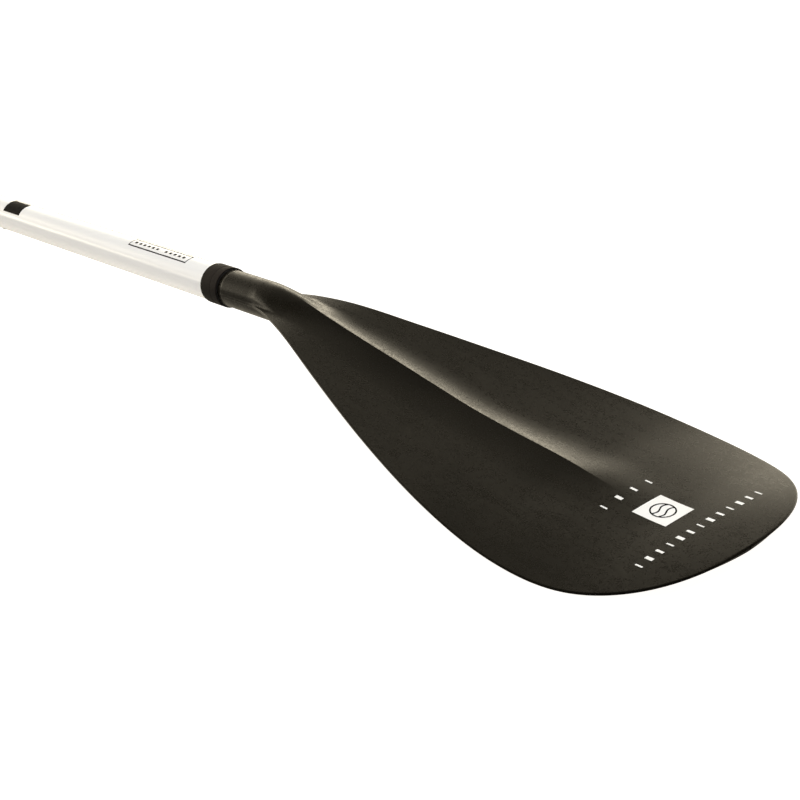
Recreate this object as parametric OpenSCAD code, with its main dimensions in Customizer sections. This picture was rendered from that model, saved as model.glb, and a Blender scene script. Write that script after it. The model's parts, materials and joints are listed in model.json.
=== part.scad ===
// Adjustable single blade paddle in three sections: a moulded blade on a lower shaft,
// a main shaft that plugs into it with a snap button, and an upper shaft with a palm grip
// that slides in the main shaft and is held by a cam lever clamp.
//
// Each piece is drawn along the shaft: x = 0 is the mouth of the blade's collar, +X runs to
// the blade tip, +Z is the marked face. laid() then lays the paddle on the ground.

/* [Blade] */
// Width of the blade at its widest point
blade_w = 192; // [170:1:210]
// Distance from the collar to the blade's widest point
widest_x = 376; // [360:1:390]
// Distance from the collar to the blade tip
tip_x = 477.5; // [465:0.5:490]
// Thickness of the moulding at the rim
rim_t = 1.8; // [1.4:0.1:3]
// Thickness of the moulding in the middle of a panel
panel_t = 3.2; // [3:0.1:5]
// Length of the round tenon that is glued into the lower shaft
tenon_l = 85; // [60:5:95]
// Diameter of the blade's neck
neck_d = 28.4; // [28:0.1:29]

/* [Shafts] */
// Outer diameter of the lower and main shafts
shaft_d = 29; // [28:0.5:30]
// Wall of the lower and main shafts
shaft_wall = 1.4; // [1.2:0.1:1.6]
// Distance from the blade's collar to the joint of lower and main shaft
joint_x = 446; // [440:1:455]
// Distance from the blade's collar to the top of the main shaft
main_top_x = 1100; // [1050:10:1150]
// Diameter of the upper shaft and the spigots, a sliding fit in the main shaft
inner_d = 26; // [26:0.01:26.1]
// Wall of the upper shaft
upper_wall = 1.3; // [1.2:0.1:1.5]
// How far the upper shaft pulls out
adjust_l = 450; // [300:10:450]
// Length of the upper shaft that stays in the main shaft when it is pulled out
keep_in = 105; // [90:5:120]

/* [Collars] */
// Length of the trim collar at the blade
collar_l = 27; // [22:1:30]
// Outer diameter of the trim collar at the blade
collar_d = 31; // [30.5:0.1:32]
// Outer diameter of the ferrule at the shaft joint
ferrule_d = 32; // [31:0.5:34]

/* [Snap button] */
// Distance from the blade's collar to the snap button
button_x = 392; // [388:1:396]
// Diameter of the snap button
button_d = 7; // [6:0.5:7]
// How far the button stands out of the shaft
button_out = 2.5; // [2:0.1:3]

/* [Clamp] */
// Outer diameter of the clamp collar
clamp_d = 37; // [36:0.5:38]
// Length of the clamp collar
clamp_l = 46; // [44:1:50]
// Width of the clamp ears and the lever
ear_w = 18; // [16:1:20]
// Distance of the tension bolt from the shaft's axis
bolt_y = 24.5; // [24:0.5:26]
// Height of the lever's pivot above the shaft's axis
pivot_z = 17; // [16.8:0.1:17.4]

/* [Grip] */
// Width of the palm grip
grip_w = 112; // [100:2:125]
// Diameter of the palm grip in the middle
grip_d = 30; // [28:1:34]
// Distance from the blade's collar to the middle of the palm grip
grip_x = 1159; // [1155:1:1165]

/* [Hidden] */
$fn = 64;

shaft_r = shaft_d / 2;
bore_r = shaft_r - shaft_wall;
inner_r = inner_d / 2;
neck_r = neck_d / 2;
fit_r = bore_r;                      // bore of every guide that the sliding parts pass
neck_x = 40;                         // the neck is round up to here
shoulder_x = -5.4;                   // step from the tenon to the neck
shaft_start = 9;                     // the lower shaft ends this far inside the collar
shaft_slit = 1.6;
spigot_in = 114;                     // how far the joint spigot reaches into the lower shaft
spigot_out = 60;                     // and how far into the main shaft
ferrule_l = 20;
spigot_bore_r = 11;
button_travel = button_out + shaft_wall + 0.1;
button_flange_z = 8.2;
clamp_top_x = main_top_x + 8;
clamp_mid_x = clamp_top_x - clamp_l / 2;
ear_top = 9;
washer_t = 1.6;
cam_r = 6;
cam_shift = pivot_z - ear_top - washer_t - cam_r - 0.05;
upper_end_x = grip_x - 9;
upper_start_x = main_top_x - adjust_l - keep_in;
upper_l = upper_end_x - upper_start_x;
groove_w = 3;
groove_t = 0.9;
grip_r = grip_d / 2;
film_t = 0.12;
mark_x = 416;
square_w = 24.9;
bar_l = 5.2;
bar_w = [1.2, 2.6, 1.9];
mark_t = 0.1;                        // how far the marks stand out of the face
mark_in = 0.5;                       // and how deep they are let in

// ---- curves of the blade ----

// Point at t on a cubic curve with the four control points p.
function bezier(p, t) = pow(1 - t, 3) * p[0] + 3 * pow(1 - t, 2) * t * p[1]
    + 3 * (1 - t) * t * t * p[2] + pow(t, 3) * p[3];

// Slope at knot i of the smooth curve through the points p.
function slope(p, i) = let (a = max(0, i - 1), b = min(len(p) - 1, i + 1))
    (p[b][1] - p[a][1]) / (p[b][0] - p[a][0]);

// Height at x of the smooth curve through the points p.
function smooth(p, x, i = 0) = x <= p[0][0] ? p[0][1]
    : x >= p[len(p) - 1][0] ? p[len(p) - 1][1]
    : x > p[i + 1][0] ? smooth(p, x, i + 1)
    : let (h = p[i + 1][0] - p[i][0], t = (x - p[i][0]) / h)
      p[i][1] * (1 + 2 * t) * pow(1 - t, 2) + h * slope(p, i) * t * pow(1 - t, 2)
      + p[i + 1][1] * t * t * (3 - 2 * t) - h * slope(p, i + 1) * t * t * (1 - t);

// Plan outline: a flare from the neck to the widest point, then the round tip.
half_w = blade_w / 2;
flare = [[neck_x, neck_r], [152, 47], [widest_x - 92, half_w], [widest_x, half_w]];
tip = [[widest_x, half_w], [widest_x + 47, half_w], [tip_x, half_w - 10], [tip_x, 0]];

// Side view: the rim, the crest of the spine, and how far the panel between the rims sags
// (negative, with a flat middle) or domes (positive, round).
rim_line = [[40, 0.9], [72, 2], [106, -1.4], [157, -12.1], [225, -26.6], [342, -49.4],
    [390, -56.2], [426, -57.7], [tip_x, -53]];
crest_line = [[40, neck_r], [60, 13.1], [84, 9.4], [117, 1.4], [153, -6.8], [190, -14.6],
    [225, -22.3], [260, -29.6], [300, -35.7], [340, -41.1], [376, -47.8], [416, -51.6],
    [442, -53], [tip_x, -53]];
dome_line = [[40, 0], [100, -0.2], [200, -0.8], [280, -0.2], [340, 2.6], [376, 5.4], [410, 6.2],
    [442, 4.6], [tip_x, 0]];
// Half width of the spine, and its form: 0 is round like the neck, 1 a soft swell, 2 a sharp
// crest with hollow flanks.
spine_w_line = [[40, neck_r], [60, 16], [84, 18], [100, 18.5], [125, 22], [150, 26], [200, 28],
    [250, 28], [300, 31], [340, 36], [400, 30]];
spine_form_line = [[30, 0], [40, 0], [54, 0.2], [70, 0.65], [86, 1.1], [120, 2], [160, 2],
    [330, 2], [350, 1.9], [385, 1]];

function round_form(q) = q < 1 ? sqrt(1 - q * q) : 0;
function swell_form(q) = q < 1 ? (1 + cos(180 * q)) / 2 : 0;
function crest_form(q) = q < 1 ? pow(1 - q, 2.4) : 0;
function spine(x, y) = let (q = abs(y) / smooth(spine_w_line, x), m = smooth(spine_form_line, x))
    m < 1 ? (1 - m) * round_form(q) + m * swell_form(q)
          : (2 - m) * swell_form(q) + (m - 1) * crest_form(q);

// Height of the marked face and of the back face at x, y on a section of half width w.
function panel_z(x, y, w) = let (dome = smooth(dome_line, x))
    smooth(rim_line, x) + dome * (1 - pow(abs(y / w), dome < 0 ? 4 : 2.3));
function face_z(x, y, w) = x <= neck_x ? max(0.9, sqrt(max(0, w * w - y * y)))
    : panel_z(x, y, w) + spine(x, y) * max(0, smooth(crest_line, x) - panel_z(x, 0, w));
function back_z(x, y, w) =
    let (r = min(w, neck_r), round_z = -r * round_form(min(1, abs(y) / r)),
         skin_z = panel_z(x, y, w) - rim_t - (panel_t - rim_t) * (1 - pow(y / w, 8)))
    x <= neck_x ? min(-0.9, round_z) : min(skin_z, round_z);

// Stations along the blade as [x, half width]: the tenon, the neck, the flare and the tip.
stations = concat(
    [for (x = [-tenon_l, shoulder_x]) [x, inner_r]],
    [for (x = [shoulder_x, neck_x / 2]) [x, neck_r]],
    [for (i = [0 : 26]) bezier(flare, i / 26)],
    [for (i = [1 : 14]) bezier(tip, i / 14.15)]
);
across = 13;                         // points from the middle of a section to its rim

// One closed section: over the face from +Y to -Y and back along the underside.
function section(s) = [
    for (k = [-across : across])
        let (y = -s[1] * sin(90 * k / across)) [s[0], y, face_z(s[0], y, s[1])],
    for (k = [across : -1 : -across])
        let (y = -s[1] * sin(90 * k / across)) [s[0], y, back_z(s[0], y, s[1])]
];

module blade() {
    ring = 4 * across + 2;
    rings = [for (s = stations) section(s)];
    points = [for (r = rings) each r];
    last = len(points) - ring;
    sides = [for (i = [0 : len(rings) - 2], k = [0 : ring - 1])
        let (a = i * ring + k, b = i * ring + (k + 1) % ring)
        each [[a, a + ring, b], [b, a + ring, b + ring]]];
    // Each end is closed by a strip between the face (points 0 up) and the back (last point down).
    ends = [for (k = [0 : 2 * across - 1]) let (a = k, b = k + 1, c = ring - 2 - k, d = ring - 1 - k)
        each [[a, b, c], [a, c, d], [last + a, last + c, last + b], [last + a, last + d, last + c]]];
    color([0.17, 0.16, 0.14]) difference() {
        polyhedron(points, concat(sides, ends));
        along_x(-tenon_l - 1, 30, 9.5);
    }
}

// Half width of the round tip at x.
function tip_t(x, a = 0, b = 1, n = 24) = let (m = (a + b) / 2)
    n == 0 ? m : bezier(tip, m)[0] < x ? tip_t(x, m, b, n - 1) : tip_t(x, a, m, n - 1);
function tip_w(x) = bezier(tip, tip_t(x))[1];

// A thin plate let into the face, centred at x, y.
module mark(x, y, length, width, cells = 1) {
    side = cells + 1;
    grid = [for (i = [0 : cells], k = [0 : cells])
        [x + length * (i / cells - 0.5), y + width * (k / cells - 0.5)]];
    function skin(lift) = [for (p = grid) [p[0], p[1], face_z(p[0], p[1], tip_w(p[0])) + lift]];
    low = side * side;
    tops = [for (i = [0 : cells - 1], k = [0 : cells - 1]) let (p = i * side + k)
        each [[p, p + 1, p + side], [p + 1, p + side + 1, p + side]]];
    border = concat([for (i = [0 : cells - 1]) i * side], [for (k = [0 : cells - 1]) cells * side + k],
        [for (i = [cells : -1 : 1]) i * side + cells], [for (k = [cells : -1 : 1]) k]);
    walls = [for (j = [0 : len(border) - 1]) let (p = border[j], q = border[(j + 1) % len(border)])
        each [[p, q, q + low], [p, q + low, p + low]]];
    polyhedron(concat(skin(mark_t), skin(-mark_in)),
        concat(tops, walls, [for (f = tops) [f[2] + low, f[1] + low, f[0] + low]]));
}

// White square between two rows of plain bars.
module blade_marks() {
    color([0.95, 0.95, 0.95]) {
        mark(mark_x, 0, square_w, square_w, 4);
        for (i = [0 : 3]) mark(mark_x - 27.6, 19.4 * (2 * i / 3 - 1), bar_l, bar_w[i % 3]);
        for (i = [0 : 12]) mark(mark_x + 27.2, 51.4 * (i / 6 - 1), bar_l, bar_w[i % 3]);
    }
}

// ---- helpers ----

// A cylinder on the shaft's axis from x0 to x1.
module along_x(x0, x1, r, r2 = undef) {
    translate([x0, 0, 0]) rotate([0, 90, 0]) cylinder(h = x1 - x0, r1 = r, r2 = is_undef(r2) ? r : r2);
}

module tube_x(x0, x1, r_out, r_in) {
    difference() {
        along_x(x0, x1, r_out);
        along_x(x0 - 1, x1 + 1, r_in);
    }
}

// An outline in the plane across the shaft (Y, Z), drawn from x0 over the length l.
module across_shaft(x0, l) {
    translate([x0, 0, 0]) rotate([90, 0, 90]) linear_extrude(l) children();
}

// A thin film on the lower shaft between two places along it and two angles from +Z to -Y.
module film(x0, x1, angle0, angle1) {
    intersection() {
        tube_x(x0, x1, shaft_r + film_t, shaft_r);
        across_shaft(x0 - 1, x1 - x0 + 2) polygon(concat([[0, 0]],
            [for (i = [0 : 4]) let (a = angle0 + (angle1 - angle0) * i / 4)
                [-2 * shaft_r * sin(a), 2 * shaft_r * cos(a)]]));
    }
}

// ---- blade section ----

module end_collar() {
    color([0.14, 0.12, 0.11]) difference() {
        along_x(-collar_l, shoulder_x - 1, collar_d / 2);
        along_x(-collar_l - 1, -shaft_start, shaft_r);
        along_x(-shaft_start - 1, 0, fit_r);
        tube_x(-14.3, -13.5, collar_d, collar_d / 2 - 0.2);
    }
}

module collar_ring() {
    color([0.05, 0.05, 0.05]) tube_x(shoulder_x - 1, shoulder_x, neck_r + 0.3, fit_r);
}

module lower_shaft() {
    color([0.95, 0.95, 0.94]) difference() {
        tube_x(-joint_x + 4, -shaft_start, shaft_r, bore_r);
        translate([-button_x, 0, -2 * shaft_r]) cylinder(h = 2 * shaft_r, d = button_d + 0.2);
    }
}

module lower_float() {
    color([0.85, 0.83, 0.75]) along_x(-250, -100, bore_r);
}

// Outlined label with a row of plain bars in it.
module shaft_label() {
    color([0.1, 0.1, 0.1]) {
        film(-144.5, -58, -9, -6);
        film(-144.5, -58, 25, 29);
        for (x = [-144.5, -58.8]) film(x, x + 0.8, -6, 25);
        for (i = [0 : 11]) if (i != 6) film(-139 + 6.5 * i, -136 + 6.5 * i, 5, 14);
    }
}

module shaft_patch() {
    color([0.08, 0.08, 0.08]) film(-364, -333, -10, 52);
}

module joint_ferrule() {
    color([0.1, 0.1, 0.1]) difference() {
        along_x(-joint_x, -joint_x + ferrule_l, ferrule_d / 2);
        along_x(-joint_x + 4, -joint_x + ferrule_l + 1, shaft_r);
        along_x(-joint_x - 1, -joint_x + 5, fit_r);
        tube_x(-joint_x + 9, -joint_x + 10, ferrule_d, ferrule_d / 2 - 0.5);
    }
}

// ---- main shaft and its joint ----

module joint_spigot() {
    color([0.75, 0.76, 0.78]) difference() {
        tube_x(-joint_x - spigot_out, -joint_x + spigot_in, inner_r, spigot_bore_r);
        translate([-button_x, 0, -2 * inner_r]) cylinder(h = 2 * inner_r, d = button_d + 0.2);
    }
}

module spigot_plug() {
    color([0.1, 0.1, 0.1]) {
        along_x(-joint_x + spigot_in, -joint_x + spigot_in + 3, inner_r - 0.5);
        along_x(-joint_x + spigot_in - 14, -joint_x + spigot_in, spigot_bore_r);
    }
}

// A domed pin with a flange inside the spigot.
module snap_button() {
    dome = 1.2;
    color([0.8, 0.8, 0.8]) translate([-button_x, 0, 0]) rotate([180, 0, 0]) rotate_extrude()
        polygon([[0, button_flange_z], [4.6, button_flange_z], [4.6, button_flange_z + 1.1],
            [button_d / 2, button_flange_z + 1.1], [button_d / 2, shaft_r + button_out - dome],
            for (a = [15 : 15 : 75]) [button_d / 2 * cos(a), shaft_r + button_out - dome + dome * sin(a)],
            [0, shaft_r + button_out]]);
}

// A strip bent to a V: one leg behind the button, the other against the spigot's bore.
module snap_spring() {
    t = 0.8;
    top = 10.2;
    color([0.7, 0.7, 0.72]) translate([-button_x, 4, 0]) rotate([90, 0, 0]) linear_extrude(8)
        polygon([[8, -button_flange_z], [-6, -button_flange_z], [-46, -1], [-50, 2],
            [-46, 5], [-6, top], [12, top], [12, top - t], [-6, top - t], [-45, 5 - t],
            [-49, 2], [-45, -1 + t], [-6, -button_flange_z + t], [8, -button_flange_z + t]]);
}

module main_shaft() {
    color([0.95, 0.95, 0.94]) difference() {
        tube_x(-main_top_x, -joint_x, shaft_r, bore_r);
        translate([-main_top_x - 1, 0, -shaft_slit / 2]) cube([41, 2 * shaft_r, shaft_slit]);
    }
}

module main_float() {
    color([0.85, 0.83, 0.75]) along_x(-joint_x - spigot_out - 30, -joint_x - spigot_out - 2, bore_r);
}

// ---- clamp ----

// The collar slips over the slit end of the main shaft; its ears draw together at +Y.
module clamp_collar() {
    color([0.08, 0.08, 0.08]) difference() {
        union() {
            along_x(-clamp_top_x, -clamp_top_x + clamp_l, clamp_d / 2);
            translate([-clamp_mid_x - ear_w / 2, 0, -ear_top]) cube([ear_w, bolt_y, 2 * ear_top]);
            translate([-clamp_mid_x, bolt_y, -ear_top]) cylinder(h = 2 * ear_top, d = ear_w);
        }
        along_x(-main_top_x, -clamp_top_x + clamp_l + 1, shaft_r);
        along_x(-clamp_top_x - 1, -main_top_x + 1, fit_r + 0.2);
        along_x(-clamp_top_x + 2, -main_top_x + 1, shaft_r + 0.6);
        translate([-clamp_top_x - 1, 0, -shaft_slit / 2]) cube([clamp_l + 2, 2 * bolt_y, shaft_slit]);
        translate([-clamp_mid_x, bolt_y, -2 * ear_top]) cylinder(h = 4 * ear_top, d = 5.3);
    }
}

// Guide ring with the key that runs in the upper shaft's groove.
module guide_ring() {
    color([0.3, 0.3, 0.32]) {
        tube_x(-clamp_top_x + 2, -main_top_x, shaft_r + 0.6, fit_r);
        translate([-clamp_top_x + 2, -1.2, -fit_r - 0.5]) cube([6, 2.4, 1.1]);
    }
}

module clamp_bolt() {
    color([0.75, 0.75, 0.77]) translate([-clamp_mid_x, bolt_y, 0]) {
        translate([0, 0, -ear_top - 6]) cylinder(h = ear_top + 6 + pivot_z, d = 4.9);
        translate([0, 0, -ear_top - 6.6]) cylinder(h = 0.6, d = 4);
    }
}

// Round thumb nut with grip flutes.
module clamp_nut() {
    nut_r = 6.5;
    color([0.72, 0.72, 0.74]) translate([-clamp_mid_x, bolt_y, -ear_top - 5]) difference() {
        cylinder(h = 5, r = nut_r);
        translate([0, 0, -1]) cylinder(h = 7, d = 4.9);
        for (a = [0 : 30 : 330]) rotate(a) translate([nut_r + 0.6, 0, -1]) cylinder(h = 7, r = 1.2);
    }
}

module cam_washer() {
    color([0.78, 0.78, 0.8]) difference() {
        translate([-clamp_mid_x - ear_w / 2, bolt_y - 7, ear_top]) cube([ear_w, 14, washer_t]);
        translate([-clamp_mid_x, bolt_y, 0]) cylinder(h = 2 * ear_top, d = 5.3);
    }
}

// Cross pin with the tapped hole that takes the tension bolt.
module lever_pivot() {
    color([0.78, 0.78, 0.8]) difference() {
        translate([0, bolt_y, pivot_z]) along_x(-clamp_mid_x - 11, -clamp_mid_x + 11, 3.5);
        translate([-clamp_mid_x, bolt_y, 0]) cylinder(h = pivot_z, d = 4.9);
    }
}

// Cam lever that folds over the top of the collar. The cam's centre is just below the pivot.
module clamp_lever() {
    steps = 24;
    from = 36;
    to = 196;
    inner = clamp_d / 2 + 0.8;
    function bow(a) = pow(max(0, 100 - a) / (100 - from), 2);
    function flick(a) = 2.4 * pow(max(0, a - 172) / 24, 2);
    function arm(r, a) = [r * cos(a), r * sin(a)];
    color([0.1, 0.1, 0.1]) difference() {
        across_shaft(-clamp_mid_x - 11, 22) union() {
            polygon(concat(
                [for (i = [0 : steps]) let (a = from + (to - from) * i / steps)
                    arm(inner + 3.4 + 8.6 * bow(a) + flick(a), a)],
                [for (i = [steps : -1 : 0]) let (a = from + (to - from) * i / steps)
                    arm(inner + 4 * bow(a) + flick(a), a)]));
            translate([bolt_y, pivot_z - cam_shift]) circle(r = cam_r);
        }
        translate([0, bolt_y, pivot_z]) along_x(-clamp_mid_x - 12, -clamp_mid_x + 12, 3.56);
        translate([0, bolt_y, pivot_z]) along_x(-clamp_mid_x - 3.4, -clamp_mid_x + 3.4, 8);
    }
}

// ---- upper shaft and grip ----

module upper_shaft() {
    color([0.9, 0.9, 0.9]) difference() {
        union() {
            tube_x(-upper_end_x, -upper_start_x, inner_r, inner_r - upper_wall);
            intersection() {
                translate([-upper_end_x, -groove_w / 2 - upper_wall, -inner_r])
                    cube([upper_l, groove_w + 2 * upper_wall, 2.2]);
                along_x(-upper_end_x, -upper_start_x, inner_r);
            }
        }
        translate([-upper_end_x - 1, -groove_w / 2, -inner_r - 1])
            cube([upper_l + 2, groove_w, 1 + groove_t]);
        handle_screw_hole(1.8);
    }
}

module upper_plug() {
    color([0.15, 0.15, 0.15]) {
        along_x(-upper_start_x - 22, -upper_start_x, 10.5);
        along_x(-upper_start_x, -upper_start_x + 3, inner_r - groove_t - 0.2);
    }
}

// Half profile of the palm grip: a bar along Y, fullest in the middle, with round ends.
module grip_bar(inset) {
    end_r = 10;
    half = grip_w / 2 - end_r;
    translate([-grip_x, 0, 0]) rotate([90, 0, 0]) rotate_extrude()
        polygon(concat([[0, -half - end_r + inset]],
            [for (a = [-75 : 15 : 0]) [(end_r + 2 - inset) * cos(a), -half + (end_r - inset) * sin(a)]],
            [for (i = [1 : 11]) let (s = -1 + i / 6)
                [end_r + 2 + (grip_r - end_r - 2) * (1 - s * s) - inset, half * s]],
            [for (a = [0 : 15 : 75]) [(end_r + 2 - inset) * cos(a), half + (end_r - inset) * sin(a)]],
            [[0, half + end_r - inset]]));
}

// The outer skin of the grip away from the shaft, where the palm rests.
module palm_side() {
    translate([-grip_x - 2 * grip_r, -grip_w, -grip_w])
        cube([2 * grip_r + 3, 2 * grip_w, 2 * grip_w]);
}

module handle_core() {
    color([0.12, 0.12, 0.12]) difference() {
        union() {
            difference() {
                grip_bar(0);
                palm_side();
            }
            grip_bar(2.5);
            along_x(-grip_x + 6, -upper_end_x + 25, 15.6, 14.8);
        }
        difference() {
            along_x(-upper_end_x, -upper_end_x + 26, inner_r);
            along_x(-upper_end_x - 1, -upper_end_x + 26, 10.4);
        }
        handle_screw_hole(1.8);
    }
}

module handle_grip() {
    color([0.2, 0.2, 0.2]) difference() {
        intersection() {
            grip_bar(0);
            palm_side();
        }
        grip_bar(2.5);
    }
}

module handle_screw_hole(r) {
    translate([-upper_end_x + 12, 0, 0]) cylinder(h = 20, r = r);
    translate([-upper_end_x + 12, 0, 14.2]) cylinder(h = 6, r = r + 1.6);
}

module handle_screw() {
    color([0.7, 0.7, 0.72]) translate([-upper_end_x + 12, 0, 0]) {
        cylinder(h = 14.2, r = 1.75);
        translate([0, 0, 14.2]) cylinder(h = 1.6, r = 3.3);
    }
}

// ---- resting place on the ground ----

// The paddle lies on two points of the blade's rim and on the clamp collar's upper end. The
// lowest point under the tilted blade is searched along the rim line.
rest_x = 420;
tilt = atan2(-smooth(rim_line, rest_x) + rim_t - clamp_d / 2, rest_x + clamp_top_x);
rim_low = min([for (x = [380 : 2 : tip_x]) x * sin(tilt) + (smooth(rim_line, x) - rim_t) * cos(tilt)]);
ground = min(rim_low, -clamp_top_x * sin(tilt) - clamp_d / 2 * cos(tilt),
    -grip_x * sin(tilt) - grip_r);
tip_end = tip_x * cos(tilt) - (smooth(rim_line, tip_x) - rim_t) * sin(tilt);
grip_end = -grip_x * cos(tilt) - grip_r;
middle = (tip_end + grip_end) / 2;

module laid() {
    translate([-middle, 0, -ground]) rotate([0, -tilt, 0]) children();
}

laid() blade();
laid() blade_marks();
laid() end_collar();
laid() collar_ring();
laid() lower_shaft();
laid() lower_float();
laid() shaft_label();
laid() shaft_patch();
laid() joint_ferrule();
laid() joint_spigot();
laid() spigot_plug();
laid() snap_button();
laid() snap_spring();
laid() main_shaft();
laid() main_float();
laid() clamp_collar();
laid() guide_ring();
laid() clamp_bolt();
laid() clamp_nut();
laid() cam_washer();
laid() lever_pivot();
laid() clamp_lever();
laid() upper_shaft();
laid() upper_plug();
laid() handle_core();
laid() handle_grip();
laid() handle_screw();
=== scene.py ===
"""Looks of the adjustable single blade paddle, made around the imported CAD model.

The paddle is drawn along its shaft, in millimetres: x = 0 in the neck, 5.4 mm beyond the blade's
collar, +X to the blade tip, +Z out of the marked face. place() puts such a point in the row frame.
"""

import json
import math

import bmesh
import bpy
from mathutils import Matrix, Vector


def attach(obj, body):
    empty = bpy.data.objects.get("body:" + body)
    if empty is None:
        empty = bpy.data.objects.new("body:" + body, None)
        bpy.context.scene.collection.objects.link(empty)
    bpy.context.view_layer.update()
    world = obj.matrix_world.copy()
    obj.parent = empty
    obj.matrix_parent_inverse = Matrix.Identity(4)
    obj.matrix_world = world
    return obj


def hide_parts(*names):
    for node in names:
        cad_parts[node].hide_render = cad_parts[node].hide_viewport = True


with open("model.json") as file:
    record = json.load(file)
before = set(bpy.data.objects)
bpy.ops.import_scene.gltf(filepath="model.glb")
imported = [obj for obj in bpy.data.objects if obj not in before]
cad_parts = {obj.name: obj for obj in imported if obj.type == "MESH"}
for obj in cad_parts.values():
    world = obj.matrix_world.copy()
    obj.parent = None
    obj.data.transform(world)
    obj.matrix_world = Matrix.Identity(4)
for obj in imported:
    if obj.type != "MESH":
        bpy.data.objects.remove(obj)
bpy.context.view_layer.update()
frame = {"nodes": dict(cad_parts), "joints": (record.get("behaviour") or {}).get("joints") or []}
nodes = frame["nodes"]
joints = {joint["name"]: joint for joint in frame["joints"]}

# ---- the paddle's own axes, read from the frame's joints ----

MM = 0.001
PIVOT = Vector((-1085, 24.5, 17))    # the clamp lever's pivot, along the shaft
AXIS_X = -Vector(joints["length_adjust"]["axis"])
AXIS_Z = Vector(joints["snap_button_press"]["axis"])
AXIS_Y = AXIS_Z.cross(AXIS_X)
TURN = Matrix((AXIS_X, AXIS_Y, AXIS_Z)).transposed()
ORIGIN = Vector(joints["clamp_lever_hinge"]["pos_m"]) - TURN @ (PIVOT * MM)


def place(x, y, z):
    """A point along the shaft, in millimetres, as a point of the row frame."""
    return ORIGIN + TURN @ (Vector((x, y, z)) * MM)


# ---- sizes, as in the CAD model ----

SHAFT_R = 14.5
SHAFT_START = -9           # the lower shaft ends here, inside the collar
COLLAR_X = -27             # the trim collar's end on the shaft
COLLAR_R = 15.5
TENON_R = 13.0
NECK_R = 14.2
FIT_R = 13.1               # bore that the tenon goes into
SHOULDER_X = -5.4          # step from the tenon to the neck
TENON_X = -85
NECK_X = 40                # the neck is round up to here
BLADE_HALF = 96
WIDEST_X = 376
TIP_X = 477.5
RIM_T = 1.8
PANEL_T = 3.2

# ---- curves of the blade ----


def bezier(points, t):
    s = 1 - t
    weights = (s**3, 3 * s * s * t, 3 * s * t * t, t**3)
    return tuple(sum(w * p[i] for w, p in zip(weights, points)) for i in (0, 1))


def slope(points, i):
    a, b = points[max(0, i - 1)], points[min(len(points) - 1, i + 1)]
    return (b[1] - a[1]) / (b[0] - a[0])


def smooth(points, x):
    """Height at x of the smooth curve through the points."""
    if x <= points[0][0]:
        return points[0][1]
    if x >= points[-1][0]:
        return points[-1][1]
    i = next(i for i in range(len(points) - 1) if x <= points[i + 1][0])
    h = points[i + 1][0] - points[i][0]
    t = (x - points[i][0]) / h
    return (
        points[i][1] * (1 + 2 * t) * (1 - t) ** 2
        + h * slope(points, i) * t * (1 - t) ** 2
        + points[i + 1][1] * t * t * (3 - 2 * t)
        - h * slope(points, i + 1) * t * t * (1 - t)
    )


# the outline's two curves: control points (x, half width) of the flare and of the tip
FLARE = ((NECK_X, NECK_R), (152, 47), (WIDEST_X - 92, BLADE_HALF), (WIDEST_X, BLADE_HALF))
TIP = ((WIDEST_X, BLADE_HALF), (WIDEST_X + 47, BLADE_HALF), (TIP_X, BLADE_HALF - 10), (TIP_X, 0))
# heights along the blade, as (x, z): the rim, the spine's crest, and the panel over its rim
RIM_LINE = ((40, 0.9), (72, 2), (106, -1.4), (157, -12.1), (225, -26.6), (342, -49.4),
            (390, -56.2), (426, -57.7), (TIP_X, -53))
CREST_LINE = ((40, NECK_R), (60, 13.1), (84, 9.4), (117, 1.4), (153, -6.8), (190, -14.6),
              (225, -22.3), (260, -29.6), (300, -35.7), (340, -41.1), (376, -47.8),
              (416, -51.6), (442, -53), (TIP_X, -53))
DOME_LINE = ((40, 0), (100, -0.2), (200, -0.8), (280, -0.2), (340, 2.6), (376, 5.4), (410, 6.2),
             (442, 4.6), (TIP_X, 0))
# half width of the spine along the blade, and its form: 0 round, 1 a swell, 2 a sharp crest
SPINE_W_LINE = ((40, NECK_R), (60, 16), (84, 18), (100, 18.5), (125, 22), (150, 26), (200, 28),
                (250, 28), (300, 31), (340, 36), (400, 30))
SPINE_FORM_LINE = ((30, 0), (40, 0), (54, 0.2), (70, 0.65), (86, 1.1), (120, 2), (160, 2), (330, 2),
                   (350, 1.9), (385, 1))


def round_form(q):
    return math.sqrt(max(0, 1 - q * q))


def swell_form(q):
    return (1 + math.cos(math.pi * q)) / 2 if q < 1 else 0


def crest_form(q):
    return (1 - q) ** 2.4 if q < 1 else 0


def spine(x, y):
    """Share of the spine's height at x, y: round like the neck, then a swell, then a sharp crest."""
    q = abs(y) / smooth(SPINE_W_LINE, x)
    form = smooth(SPINE_FORM_LINE, x)
    if form < 1:
        return (1 - form) * round_form(q) + form * swell_form(q)
    return (2 - form) * swell_form(q) + (form - 1) * crest_form(q)


def panel_z(x, y, w):
    """Height of the panel without the spine: a flat sag near the neck, a round dome at the tip."""
    dome = smooth(DOME_LINE, x)
    return smooth(RIM_LINE, x) + dome * (1 - abs(y / w) ** (4 if dome < 0 else 2.3))


def face_z(x, y, w):
    """Height of the marked face at x, y where the blade's half width is w."""
    if x <= NECK_X:
        return max(RIM_T / 2, w * round_form(y / w))
    rise = smooth(CREST_LINE, x) - panel_z(x, 0, w)
    return panel_z(x, y, w) + max(0, rise) * spine(x, y)


def back_z(x, y, w):
    """Height of the back face at x, y."""
    neck_r = min(w, NECK_R)
    neck = -neck_r * round_form(min(1, abs(y) / neck_r))
    if x <= NECK_X:
        return min(-RIM_T / 2, neck)
    skin = panel_z(x, y, w) - RIM_T - (PANEL_T - RIM_T) * (1 - (y / w) ** 8)
    return min(skin, neck)


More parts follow.
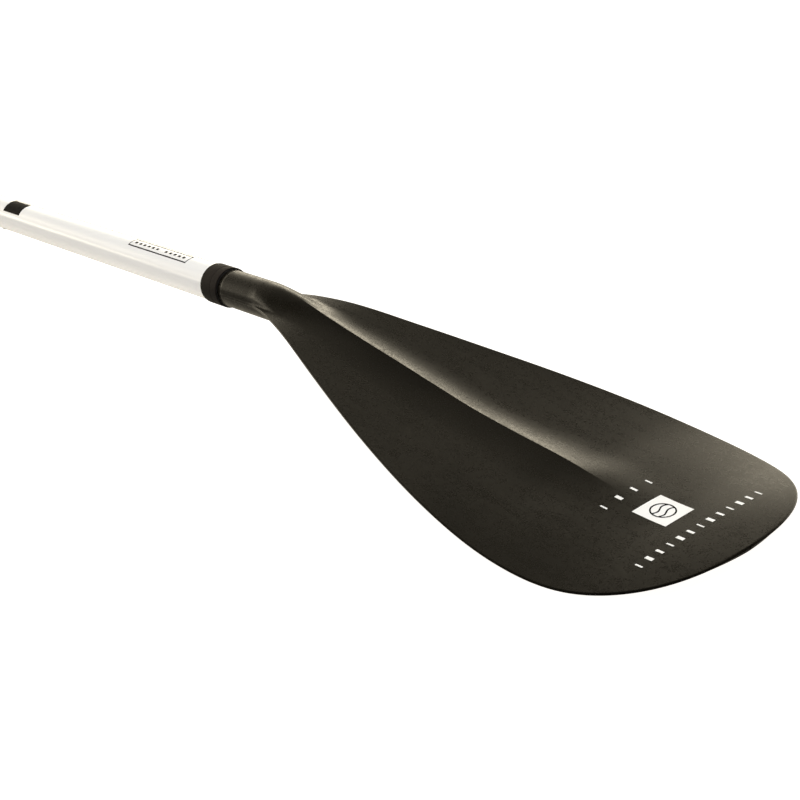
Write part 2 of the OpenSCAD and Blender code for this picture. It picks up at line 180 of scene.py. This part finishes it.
def half_width(x):
    """Half width of the blade's outline at x, found along the outline's two curves."""
    curve = FLARE if x < WIDEST_X else TIP
    low, high = 0.0, 1.0
    for _ in range(40):
        mid = (low + high) / 2
        low, high = (mid, high) if bezier(curve, mid)[0] < x else (low, mid)
    return bezier(curve, low)[1]


# ---- mesh helpers ----


def add_mesh(name, points, faces, material, body, replaces=(), smooth_shade=True):
    """A piece from points along the shaft, riding on a body."""
    mesh = bpy.data.meshes.new(name)
    mesh.from_pydata([place(*p) for p in points], [], faces)
    shell = bmesh.new()
    shell.from_mesh(mesh)
    bmesh.ops.recalc_face_normals(shell, faces=shell.faces)
    shell.to_mesh(mesh)
    shell.free()
    mesh.materials.append(material)
    mesh.polygons.foreach_set("use_smooth", [smooth_shade] * len(mesh.polygons))
    piece = bpy.data.objects.new(name, mesh)
    bpy.context.scene.collection.objects.link(piece)
    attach(piece, body)
    if replaces:
        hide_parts(*replaces)
    return piece


def bridge(rings):
    """Faces between closed rings of equal length that follow each other in the point list."""
    count = len(rings[0])
    faces = []
    for i in range(len(rings) - 1):
        for k in range(count):
            a, b = i * count + k, i * count + (k + 1) % count
            faces.append((a, b, b + count, a + count))
    return faces


def rounded(profile, radius, steps=4):
    """The closed outline with its corners rounded, by less where a side is short."""
    out = []
    for i, corner in enumerate(profile):
        here = Vector(corner)
        before = Vector(profile[i - 1]) - here
        after = Vector(profile[(i + 1) % len(profile)]) - here
        cut = min(radius, 0.45 * before.length, 0.45 * after.length)
        a, b = here + before.normalized() * cut, here + after.normalized() * cut
        for k in range(steps + 1):
            t = k / steps
            out.append(tuple(a * (1 - t) ** 2 + here * 2 * t * (1 - t) + b * t * t))
    return out


def turned(name, outline, material, body, replaces, around=96):
    """A sleeve turned round the shaft's axis from a closed (x, r) outline."""
    rings = []
    for i in range(around + 1):
        angle = 2 * math.pi * (i % around) / around
        rings.append([(x, r * math.sin(angle), r * math.cos(angle)) for x, r in outline])
    points = [p for ring in rings[:-1] for p in ring]
    total = len(points)
    faces = [tuple(k % total for k in face) for face in bridge(rings)]
    return add_mesh(name, points, faces, material, body, replaces)


# ---- materials ----


class Nodes:
    """Short calls for building a material's node tree."""

    def __init__(self, name):
        self.material = bpy.data.materials.new(name)
        self.material.use_nodes = True
        self.tree = self.material.node_tree
        self.shader = self.tree.nodes["Principled BSDF"]
        self.place = self.add("ShaderNodeTexCoord").outputs["Object"]

    def add(self, kind, **settings):
        node = self.tree.nodes.new(kind)
        for key, value in settings.items():
            setattr(node, key, value)
        return node

    def link(self, source, target):
        self.tree.links.new(source, target)

    def noise(self, scale, detail=3.0, stretch=None, rough=0.5):
        """Noise over the piece; scale is in features per metre."""
        node = self.add("ShaderNodeTexNoise")
        node.inputs["Scale"].default_value = scale
        node.inputs["Detail"].default_value = detail
        node.inputs["Roughness"].default_value = rough
        source = self.place
        if stretch:
            mapping = self.add("ShaderNodeMapping")
            mapping.inputs["Scale"].default_value = stretch
            self.link(source, mapping.inputs["Vector"])
            source = mapping.outputs["Vector"]
        self.link(source, node.inputs["Vector"])
        return node.outputs["Fac"]

    def ramp(self, factor, *stops):
        """Colour or grey along a factor; each stop is (position, grey or colour)."""
        node = self.add("ShaderNodeValToRGB")
        while len(node.color_ramp.elements) < len(stops):
            node.color_ramp.elements.new(0.5)
        for element, (position, value) in zip(node.color_ramp.elements, stops):
            element.position = position
            element.color = (value, value, value, 1) if isinstance(value, float) else (*value, 1)
        self.link(factor, node.inputs["Fac"])
        return node.outputs["Color"]

    def mix(self, factor, a, b, mode="MIX"):
        node = self.add("ShaderNodeMix", data_type="RGBA", blend_type=mode)
        for socket, value in ((node.inputs[0], factor), (node.inputs[6], a), (node.inputs[7], b)):
            if isinstance(value, bpy.types.NodeSocket):
                self.link(value, socket)
            elif isinstance(value, (int, float)):
                socket.default_value = value
            else:
                socket.default_value = (*value, 1)
        return node.outputs[2]

    def bump(self, *layers):
        """Bump from (height, strength, distance in millimetres) layers, finest last."""
        normal = None
        for height, strength, distance in layers:
            node = self.add("ShaderNodeBump")
            node.inputs["Strength"].default_value = strength
            node.inputs["Distance"].default_value = distance * MM
            self.link(height, node.inputs["Height"])
            if normal:
                self.link(normal, node.inputs["Normal"])
            normal = node.outputs["Normal"]
        self.link(normal, self.shader.inputs["Normal"])

    def set(self, **values):
        for key, value in values.items():
            socket = self.shader.inputs[key.replace("_", " ")]
            if isinstance(value, bpy.types.NodeSocket):
                self.link(value, socket)
            else:
                socket.default_value = (*value, 1) if isinstance(value, tuple) else value


def moulded(name, dark, light, rough=(0.42, 0.56), shine=0.5):
    """Fine-grained moulded plastic, mottled between two colours."""
    n = Nodes(name)
    clouds = n.noise(14, 5, rough=0.6)
    flow = n.noise(60, 4, stretch=(0.35, 1, 1))
    mottled = n.ramp(n.mix(0.4, clouds, flow), (0.36, dark), (0.66, light))
    specks = n.ramp(n.noise(2600, 1), (0.62, 0.0), (0.74, 1.0))
    n.set(Base_Color=n.mix(n.mix(1.0, specks, (0.25, 0.25, 0.25), "MULTIPLY"), mottled, light))
    worn = n.mix(0.45, n.noise(220, 4), n.noise(130, 4, stretch=(0.12, 1, 1)))
    n.set(Roughness=n.ramp(n.mix(0.5, worn, n.noise(750, 2)), (0.4, rough[0]), (0.6, rough[1])))
    n.set(IOR=1.46, Specular_IOR_Level=shine)
    n.bump((n.noise(90, 3), 0.12, 0.25), (n.noise(1600, 2), 0.3, 0.03))
    return n.material


def painted(name, colour, shade):
    """Gloss paint on a tube: slight orange peel, faint handling dulling."""
    n = Nodes(name)
    n.set(Base_Color=n.ramp(n.noise(6, 3, stretch=(0.3, 1, 1)), (0.35, colour), (0.75, shade)))
    n.set(Roughness=n.ramp(n.noise(25, 5), (0.35, 0.16), (0.75, 0.26)))
    n.set(Coat_Weight=0.6, Coat_Roughness=0.08)
    n.bump((n.noise(420, 2), 0.08, 0.02))
    return n.material


def metal(name, colour, rough, lines=(0.02, 1, 1)):
    """Drawn or turned metal; lines is how fine its streaks are along X, Y and Z."""
    n = Nodes(name)
    streaks = n.noise(900, 3, stretch=lines)
    n.set(Base_Color=n.ramp(streaks, (0.3, tuple(0.85 * c for c in colour)), (0.7, colour)))
    n.set(Metallic=1.0, Roughness=n.ramp(streaks, (0.3, rough - 0.06), (0.7, rough + 0.08)))
    n.bump((streaks, 0.1, 0.01))
    return n.material


def soft(name, dark, light, grain=900.0, rough=(0.62, 0.8), shine=0.5):
    """Soft-touch rubber or ink with a leathery fine grain."""
    n = Nodes(name)
    n.set(Base_Color=n.ramp(n.noise(40, 4), (0.35, dark), (0.7, light)))
    n.set(Roughness=n.ramp(n.noise(300, 2), (0.3, rough[0]), (0.7, rough[1])), Specular_IOR_Level=shine)
    n.bump((n.noise(grain, 3), 0.35, 0.06))
    return n.material


def foam(name, colour):
    """Closed-cell foam with small open bubbles, their pits darkened with painted shade."""
    n = Nodes(name)
    cells = n.add("ShaderNodeTexVoronoi")
    cells.inputs["Scale"].default_value = 900
    n.link(n.place, cells.inputs["Vector"])
    # painted shade: the bubbles' pits, lowest in the bump, get a darker copy of the colour
    pit_shade = tuple(0.7 * c for c in colour)
    n.set(Base_Color=n.ramp(cells.outputs["Distance"], (0.1, pit_shade), (0.5, colour)), Roughness=0.9)
    n.bump((cells.outputs["Distance"], 0.5, 0.2))
    return n.material


BLADE_PLASTIC = moulded("blade plastic", (0.0044, 0.0037, 0.0023), (0.0082, 0.0069, 0.0046),
                        rough=(0.24, 0.40), shine=0.32)
TRIM_PLASTIC = moulded("trim plastic", (0.0130, 0.0105, 0.0088), (0.0200, 0.0160, 0.0134),
                       rough=(0.55, 0.66), shine=0.12)
CLAMP_PLASTIC = moulded("clamp plastic", (0.012, 0.012, 0.012), (0.022, 0.022, 0.022), (0.4, 0.55))
GUIDE_PLASTIC = moulded("guide plastic", (0.10, 0.10, 0.11), (0.14, 0.14, 0.15), (0.3, 0.4))
WHITE_PAINT = painted("white paint", (0.92, 0.915, 0.90), (0.89, 0.885, 0.87))
PRINT_WHITE = soft("white print", (0.92, 0.92, 0.90), (0.96, 0.96, 0.94), 1500.0, (0.4, 0.5))
PRINT_BLACK = soft("black print", (0.0025, 0.002, 0.002), (0.004, 0.0035, 0.0035), 1500.0,
                   (0.5, 0.6), shine=0.04)
TUBE_METAL = metal("anodised tube", (0.72, 0.73, 0.74), 0.32)
TURNED_STEEL = metal("turned steel", (0.62, 0.62, 0.61), 0.28, (1, 0.05, 1))
SPRING_STEEL = metal("spring steel", (0.55, 0.55, 0.56), 0.35)
SEAL_RUBBER = soft("seal rubber", (0.010, 0.010, 0.010), (0.018, 0.018, 0.018))
GRIP_RUBBER = soft("grip rubber", (0.020, 0.019, 0.018), (0.034, 0.033, 0.031), 700.0)
FLOAT_FOAM = foam("float foam", (0.74, 0.72, 0.64))

# ---- the blade ----

ACROSS = 72                # steps from the blade's middle to its rim
ROUND_STEPS = 5            # steps round the rim
FLARE_STEPS = 170          # stations along the flare and along the tip
TIP_STEPS = 110
TIP_END = 0.997            # share of the tip's curve up to the strip that closes it
BORE_R = 9.5               # the bore in the tenon and the neck
BORE_END_X = 30
RIM_GROWS = 40             # the rim reaches its full roundness over this length
SIDEWAYS = Vector((0, 1))


def outline_stations():
    """[(x, half width, outward direction)] along the blade's outline, neck to tip."""
    out = []
    for curve, steps, last in ((FLARE, FLARE_STEPS, 1.0), (TIP, TIP_STEPS, TIP_END)):
        for i in range(0 if curve is FLARE else 1, steps + 1):
            t = last * i / steps
            x, w = bezier(curve, t)
            ahead, behind = bezier(curve, min(1, t + 1e-3)), bezier(curve, max(0, t - 1e-3))
            run = Vector((ahead[0] - behind[0], ahead[1] - behind[1])).normalized()
            out.append((x, w, Vector((-run.y, run.x))))
    return out


def blade_section(x, w, out):
    """One closed section: the face from +Y to -Y, the round rim, the back, the round rim."""
    round_r = RIM_T / 2 * min(1.0, max(0.0, (x - NECK_X) / RIM_GROWS))
    inset_x, inset_w = x - round_r * out.x, max(0.02, w - round_r * out.y)
    face, back = [], []
    # the points lie closest at the crest and at the rim
    for k in range(-ACROSS, ACROSS + 1):
        f = abs(k) / ACROSS
        y = -math.copysign(inset_w * math.sin(math.pi / 2 * f**1.4), k)
        face.append((inset_x, y, face_z(inset_x, y, w)))
        back.append((inset_x, y, back_z(inset_x, y, w)))
    rims = []
    for side in (-1, 1):
        edge = face[-1] if side < 0 else face[0]
        low = back[-1] if side < 0 else back[0]
        middle = (edge[2] + low[2]) / 2
        arc = []
        for k in range(1, ROUND_STEPS):
            angle = math.pi / 2 - math.pi * k / ROUND_STEPS
            reach = round_r * math.cos(angle)
            arc.append((inset_x + reach * out.x, side * (inset_w + reach * out.y),
                        middle + (edge[2] - low[2]) / 2 * math.sin(angle)))
        rims.append(arc)
    return face + rims[0] + back[::-1] + rims[1][::-1]


def build_blade():
    stations = [(x, TENON_R, SIDEWAYS) for x in (TENON_X, -40, SHOULDER_X)]
    stations += [(x, NECK_R, SIDEWAYS) for x in (SHOULDER_X + 0.01, 0, 8, 16, 24, 32)]
    stations += outline_stations()
    rings = [blade_section(*station) for station in stations]
    points = [p for ring in rings for p in ring]
    faces = bridge(rings)
    count = len(rings[0])
    # a strip closes the tip: face point k meets the back point that lies below it
    last = (len(rings) - 1) * count
    across_points = 2 * ACROSS + 1
    low = across_points + ROUND_STEPS - 1
    for k in range(across_points - 1):
        under = last + low + across_points - 1 - k
        faces.append((last + k, last + k + 1, under - 1, under))
    # the tenon's mouth and its bore
    bore_start = len(points)
    angles = [math.atan2(z, y) for _, y, z in rings[0]]
    for x in (TENON_X, BORE_END_X):
        points += [(x, BORE_R * math.cos(a), BORE_R * math.sin(a)) for a in angles]
    for k in range(count):
        n = (k + 1) % count
        faces.append((k, n, bore_start + n, bore_start + k))
        faces.append((bore_start + k, bore_start + n, bore_start + count + n, bore_start + count + k))
    faces.append(tuple(bore_start + count + k for k in range(count)))
    return add_mesh("blade_moulding", points, faces, BLADE_PLASTIC, "paddle", ("blade",))


build_blade()

# ---- marks on the blade: a film that follows the face ----

MARK_X = 416               # middle of the white square
SQUARE = 24.9
ROWS = ((-27.6, 19.4, 4), (27.2, 51.4, 13))    # along the blade from MARK_X, half length, bars
BAR_L = 5.2
BAR_W = (1.2, 2.6, 1.9)
PRINT_LIFT = 0.08          # how far a film stands out of the face, and how deep it goes
PRINT_DEPTH = 0.3
RING_R = 7.4
RING_LINE = 1.0
RING_STEPS = 48
WAVE_SHIFT = 2.4           # how far a wave lies from the ring's middle
WAVE_SWING = 1.1
WAVE_STEPS = 24


def on_blade(x, y, lift):
    return (x, y, face_z(x, y, half_width(x)) + lift)


def film(outline, lift, cells):
    """(points, faces) of a thin closed film over the face, four corners filled with cells x cells."""
    a, b, c, d = (Vector(corner) for corner in outline)
    steps = [k / cells for k in range(cells + 1)]
    points = []
    for level in (lift, -PRINT_DEPTH):
        for u in steps:
            for v in steps:
                x, y = (1 - u) * (1 - v) * a + u * (1 - v) * b + u * v * c + (1 - u) * v * d
                points.append(on_blade(x, y, level))
    side, low = cells + 1, (cells + 1) ** 2
    faces = []
    for i in range(cells):
        for k in range(cells):
            p = i * side + k
            faces.append((p, p + side, p + side + 1, p + 1))
            faces.append((p + low, p + low + 1, p + low + side + 1, p + low + side))
    border = [i * side for i in range(cells)] + [cells * side + k for k in range(cells)]
    border += [i * side + cells for i in range(cells, 0, -1)] + list(range(cells, 0, -1))
    for p, q in zip(border, border[1:] + border[:1]):
        faces.append((p, q, q + low, p + low))
    return points, faces


def print_films(name, films, material, replaces=()):
    """One piece made of several films."""
    points, faces = [], []
    for film_points, film_faces in films:
        start = len(points)
        points += film_points
        faces += [tuple(start + k for k in face) for face in film_faces]
    return add_mesh(name, points, faces, material, "paddle", replaces, smooth_shade=False)


def strip(x, y, length, width, turn=0.0):
    """Corners of a rectangle centred at x, y; length runs along the blade."""
    c, s = math.cos(turn), math.sin(turn)
    corners = ((-1, -1), (1, -1), (1, 1), (-1, 1))
    return [(x + c * i * length / 2 - s * k * width / 2, y + s * i * length / 2 + c * k * width / 2)
            for i, k in corners]


def bar_row(x, half_length, count):
    """A row of plain bars across the blade."""
    places = [half_length * (2 * i / (count - 1) - 1) for i in range(count)]
    return [film(strip(x, y, BAR_L, BAR_W[i % 3]), PRINT_LIFT, 2) for i, y in enumerate(places)]


def emblem():
    """A ring with two waves in it, drawn as short strips."""
    runs = [[(MARK_X + RING_R * math.cos(a), RING_R * math.sin(a))
             for a in (2 * math.pi * i / RING_STEPS for i in range(RING_STEPS + 1))]]
    for shift in (-WAVE_SHIFT, WAVE_SHIFT):
        reach = math.sqrt(RING_R**2 - shift**2) - 0.4
        runs.append([(MARK_X + shift + WAVE_SWING * math.sin(2 * math.pi * i / WAVE_STEPS),
                      reach * (2 * i / WAVE_STEPS - 1)) for i in range(WAVE_STEPS + 1)])
    films = []
    for run in runs:
        for (x0, y0), (x1, y1) in zip(run, run[1:]):
            length, turn = math.hypot(x1 - x0, y1 - y0) + 0.25, math.atan2(y1 - y0, x1 - x0)
            outline = strip((x0 + x1) / 2, (y0 + y1) / 2, length, RING_LINE, turn)
            films.append(film(outline, 2 * PRINT_LIFT, 1))
    return films


square = film(strip(MARK_X, 0, SQUARE, SQUARE), PRINT_LIFT, 12)
bars = [bar for offset, *row in ROWS for bar in bar_row(MARK_X + offset, *row)]
print_films("blade_print", [square] + bars, PRINT_WHITE, ("blade_marks",))
print_films("blade_emblem", emblem(), PRINT_BLACK)

# ---- collars and tubes ----

COLLAR_END = SHOULDER_X - 1
GROOVE_X = -13.9           # middle of the fine groove round the collar


def build_trim_collar():
    """The trim collar with a thin lead-in, a groove and slightly rounded corners."""
    low_r = COLLAR_R - 0.2
    profile = [
        (COLLAR_X, SHAFT_R), (COLLAR_X, COLLAR_R - 0.1), (COLLAR_X + 0.6, COLLAR_R),
        (GROOVE_X - 0.5, COLLAR_R), (GROOVE_X - 0.2, low_r), (GROOVE_X + 0.2, low_r),
        (GROOVE_X + 0.5, COLLAR_R), (COLLAR_END - 0.2, COLLAR_R), (COLLAR_END, low_r),
        (COLLAR_END, FIT_R), (SHAFT_START, FIT_R), (SHAFT_START, SHAFT_R),
    ]
    turned("trim_collar", rounded(profile, 0.3), TRIM_PLASTIC, "paddle", ("end_collar",))


build_trim_collar()

for node, material in {
    "collar_ring": SEAL_RUBBER, "lower_shaft": WHITE_PAINT, "lower_float": FLOAT_FOAM,
    "shaft_label": PRINT_BLACK, "shaft_patch": PRINT_BLACK, "joint_ferrule": TRIM_PLASTIC,
    "joint_spigot": TUBE_METAL, "spigot_plug": SEAL_RUBBER, "snap_button": TURNED_STEEL,
    "snap_spring": SPRING_STEEL, "main_shaft": WHITE_PAINT, "main_float": FLOAT_FOAM,
    "clamp_collar": CLAMP_PLASTIC, "guide_ring": GUIDE_PLASTIC, "clamp_bolt": TURNED_STEEL,
    "clamp_nut": TURNED_STEEL, "cam_washer": TURNED_STEEL, "lever_pivot": TURNED_STEEL,
    "clamp_lever": CLAMP_PLASTIC, "upper_shaft": TUBE_METAL, "upper_plug": SEAL_RUBBER,
    "handle_core": CLAMP_PLASTIC, "handle_grip": GRIP_RUBBER, "handle_screw": TURNED_STEEL,
}.items():
    nodes[node].data.materials.clear()
    nodes[node].data.materials.append(material)

# ---- floor, light and camera ----

FLOOR_HALF = 50.0
DOME_R = 40
FLOOR_GLOW = 1.06
BACKDROP_GLOW = 1.3
HORIZON = (1.0, 0.9, 0.7)  # the sky's warm tint
# brightness against the height of a direction, 0 level and 1 straight up: a low window, a wide
# soft one over it, nearly dark overhead
SKY = ((0.0, 0.1), (0.1, 0.9), (0.2, 0.2), (0.33, 0.35), (0.45, 0.05), (0.6, 0.02), (0.7, 0.05))
# brightness against how far a direction turns towards the windows
SIDES = ((0.2, 0.01), (0.5, 1.0))
WINDOW_SIDE = (-700, 540, 0)
SKY_STRENGTH = 6.5
EYE = (936, -570, 375)
AIM = (226, -32, -20)
ROLL_DEG = -6.6
LENS = 68.4


def add_stage(name, mesh, glow, lights_the_paddle):
    """A pale surface around the paddle that isn't mirrored in it."""
    n = Nodes(name)
    n.set(Base_Color=(0.3, 0.3, 0.3), Roughness=1.0, Specular_IOR_Level=0.0)
    n.set(Emission_Color=(1.0, 0.97, 0.93), Emission_Strength=glow)
    mesh.materials.append(n.material)
    stage = bpy.data.objects.new(name, mesh)
    stage.visible_glossy = False
    stage.visible_diffuse = stage.visible_shadow = lights_the_paddle
    bpy.context.scene.collection.objects.link(stage)


def add_floor():
    mesh = bpy.data.meshes.new("floor")
    corners = ((-1, -1), (1, -1), (1, 1), (-1, 1))
    mesh.from_pydata([(FLOOR_HALF * x, FLOOR_HALF * y, 0) for x, y in corners], [], [(0, 1, 2, 3)])
    add_stage("floor", mesh, FLOOR_GLOW, True)


def add_backdrop():
    """A wide pale dome that only the camera sees."""
    mesh = bpy.data.meshes.new("backdrop")
    dome = bmesh.new()
    bmesh.ops.create_uvsphere(dome, u_segments=48, v_segments=24, radius=DOME_R)
    dome.to_mesh(mesh)
    dome.free()
    add_stage("backdrop", mesh, BACKDROP_GLOW, False)


def add_top_light():
    """A soft disk over the neck that lights matt surfaces and isn't mirrored."""
    light = bpy.data.lights.new("top light", "AREA")
    light.shape = "DISK"
    light.size = 1.6
    light.energy = 26
    lamp = bpy.data.objects.new("top light", light)
    lamp.location = place(60, 0, 1400)
    lamp.rotation_euler = (place(60, 0, 0) - lamp.location).to_track_quat("-Z", "Y").to_euler()
    lamp.visible_glossy = False
    bpy.context.scene.collection.objects.link(lamp)


def add_world():
    """Soft windows low behind the paddle, dark on the camera's side and nearly dark overhead."""
    world = bpy.data.worlds.new("studio")
    world.use_nodes = True
    tree = world.node_tree
    link = tree.links.new
    direction = tree.nodes.new("ShaderNodeTexCoord").outputs["Generated"]
    split = tree.nodes.new("ShaderNodeSeparateXYZ")
    link(direction, split.inputs[0])
    height = tree.nodes.new("ShaderNodeValToRGB")
    link(split.outputs["Z"], height.inputs["Fac"])
    toward = tree.nodes.new("ShaderNodeVectorMath")
    toward.operation = "DOT_PRODUCT"
    toward.inputs[1].default_value = (place(*WINDOW_SIDE) - place(0, 0, 0)).normalized()
    link(direction, toward.inputs[0])
    side = tree.nodes.new("ShaderNodeValToRGB")
    link(toward.outputs["Value"], side.inputs["Fac"])
    both = tree.nodes.new("ShaderNodeMix")
    both.data_type = "RGBA"
    both.blend_type = "MULTIPLY"
    both.inputs[0].default_value = 1.0
    link(height.outputs["Color"], both.inputs[6])
    link(side.outputs["Color"], both.inputs[7])
    link(both.outputs[2], tree.nodes["Background"].inputs["Color"])
    for ramp, stops, tint in ((height, SKY, HORIZON), (side, SIDES, (1, 1, 1))):
        while len(ramp.color_ramp.elements) < len(stops):
            ramp.color_ramp.elements.new(0.5)
        for element, (position, level) in zip(ramp.color_ramp.elements, stops):
            element.position = position
            element.color = (*(level * c for c in tint), 1)
    tree.nodes["Background"].inputs["Strength"].default_value = SKY_STRENGTH
    bpy.context.scene.world = world


def add_camera():
    """The photograph's view: from beyond the tip, to the left of the blade, looking down 25 degrees."""
    eye, aim = place(*EYE), place(*AIM)
    camera = bpy.data.cameras.new("camera")
    camera.lens = LENS
    camera.sensor_width = 36
    camera.clip_end = 2 * FLOOR_HALF
    holder = bpy.data.objects.new("camera", camera)
    roll = Matrix.Rotation(math.radians(ROLL_DEG), 3, "Z")
    turn = (aim - eye).to_track_quat("-Z", "Y").to_matrix() @ roll
    holder.matrix_world = Matrix.Translation(eye) @ turn.to_4x4()
    bpy.context.scene.collection.objects.link(holder)
    bpy.context.scene.camera = holder


add_floor()
add_backdrop()
add_world()
add_top_light()
add_camera()
bpy.context.scene.view_settings.view_transform = "Standard"
